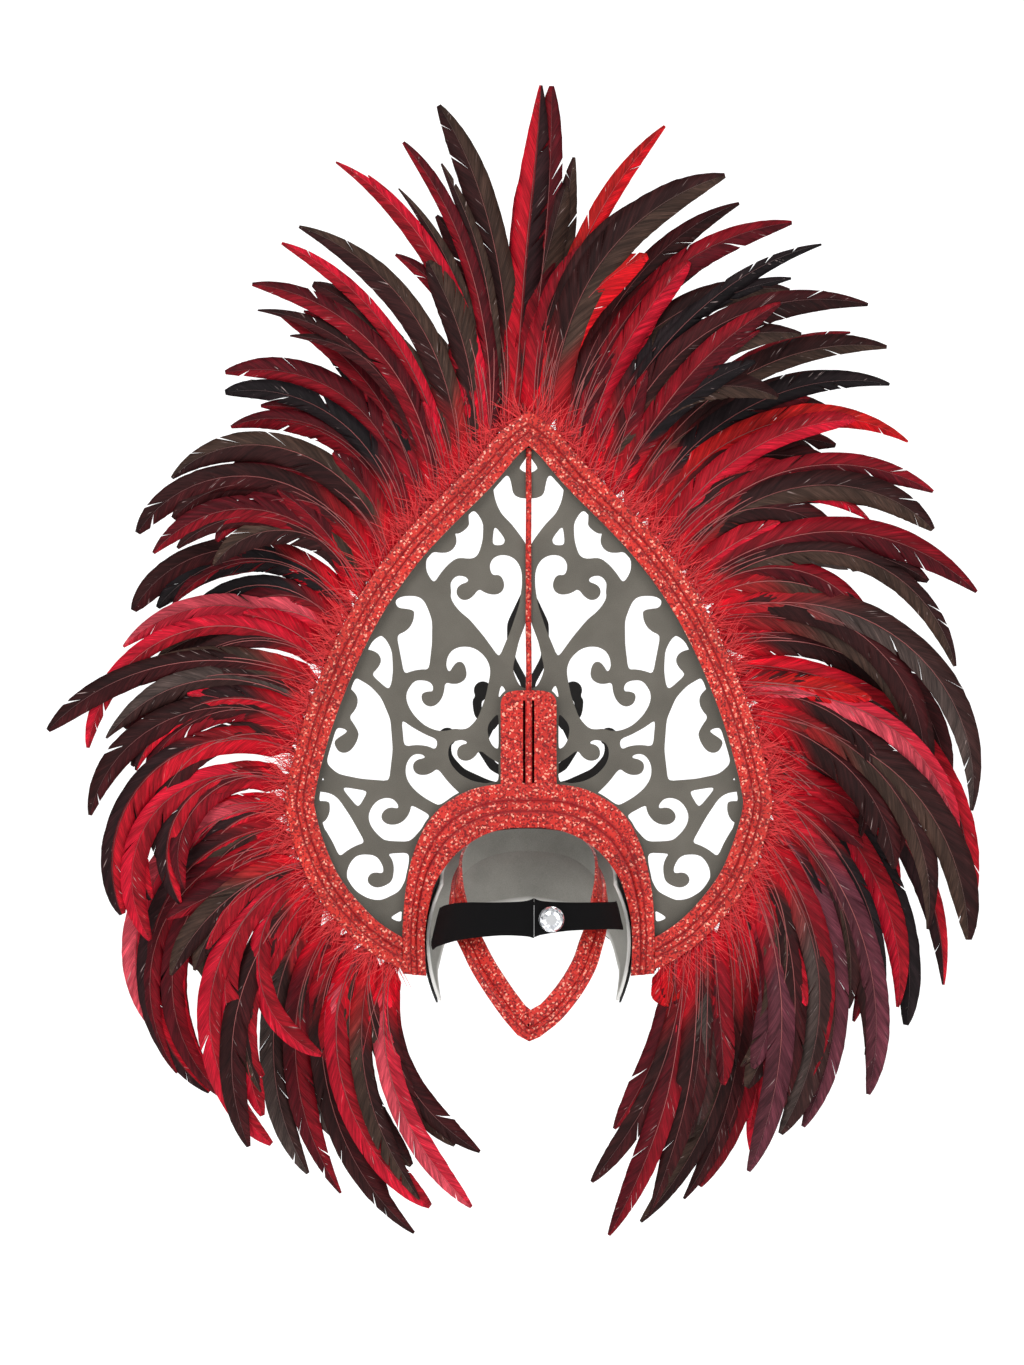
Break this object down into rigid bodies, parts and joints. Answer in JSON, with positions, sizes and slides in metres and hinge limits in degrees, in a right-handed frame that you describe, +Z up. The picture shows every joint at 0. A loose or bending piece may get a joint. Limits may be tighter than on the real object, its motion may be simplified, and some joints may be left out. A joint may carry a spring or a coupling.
{
  "type": "feathered headdress",
  "caption": "Tall carnival headdress: pierced spade-shaped panel edged in red glitter, fringed with long curved cock-tail feathers, on a forehead band with a nape ring.",
  "frame": {"origin": "middle of the head opening at the height of the elastic strap, where the headdress sits on the head", "axes": "+Y the way the wearer faces, +X the wearer's right, which is the right of the picture seen from behind, +Z up along the panel"},
  "size_m": [0.8399, 0.2082, 1.0482],
  "materials": {
    "dark_foam": "dark grey closed-cell foam sheet, faintly mottled",
    "grey_foam": "grey foam sheet with pale cut edges",
    "black_foam": "thin black foam",
    "red_glitter": "red glitter sheet with a pressed cord rib",
    "black_elastic": "woven black elastic",
    "crystal": "clear cut stone with a silvered back",
    "feather_brown": "dark brown cock-tail feather with red base",
    "feather_maroon": "maroon cock-tail feather with red base",
    "feather_crimson": "crimson cock-tail feather with downy base"
  },
  "bodies": {
    "root": {"pierced_panel": "dark_foam", "rim_core": "dark_foam", "arch_core": "dark_foam", "rim_band": "red_glitter", "arch_band": "red_glitter", "centre_tab": "red_glitter", "centre_rod": "red_glitter", "forehead_band": "grey_foam", "forehead_cover": "black_foam", "front_plaque": "black_foam", "nape_ring": "red_glitter", "strap_left": "black_elastic", "strap_right": "black_elastic", "crystal_button": "crystal", "feather_fan_left_01": "feather_brown", "feather_fan_left_02": "feather_maroon", "feather_fan_left_03": "feather_brown", "feather_fan_left_04": "feather_crimson", "feather_fan_left_05": "feather_maroon", "feather_fan_left_06": "feather_brown", "feather_fan_left_07": "feather_maroon", "feather_fan_left_08": "feather_brown", "feather_fan_left_09": "feather_crimson", "feather_fan_left_10": "feather_maroon", "feather_fan_left_11": "feather_brown", "feather_fan_left_12": "feather_maroon", "feather_fan_right_01": "feather_brown", "feather_fan_right_02": "feather_maroon", "feather_fan_right_03": "feather_brown", "feather_fan_right_04": "feather_crimson", "feather_fan_right_05": "feather_maroon", "feather_fan_right_06": "feather_brown", "feather_fan_right_07": "feather_maroon", "feather_fan_right_08": "feather_brown", "feather_fan_right_09": "feather_crimson", "feather_fan_right_10": "feather_maroon", "feather_fan_right_11": "feather_brown", "feather_fan_right_12": "feather_maroon", "feather_fan_right_13": "feather_brown"}
  },
  "joints": []
}
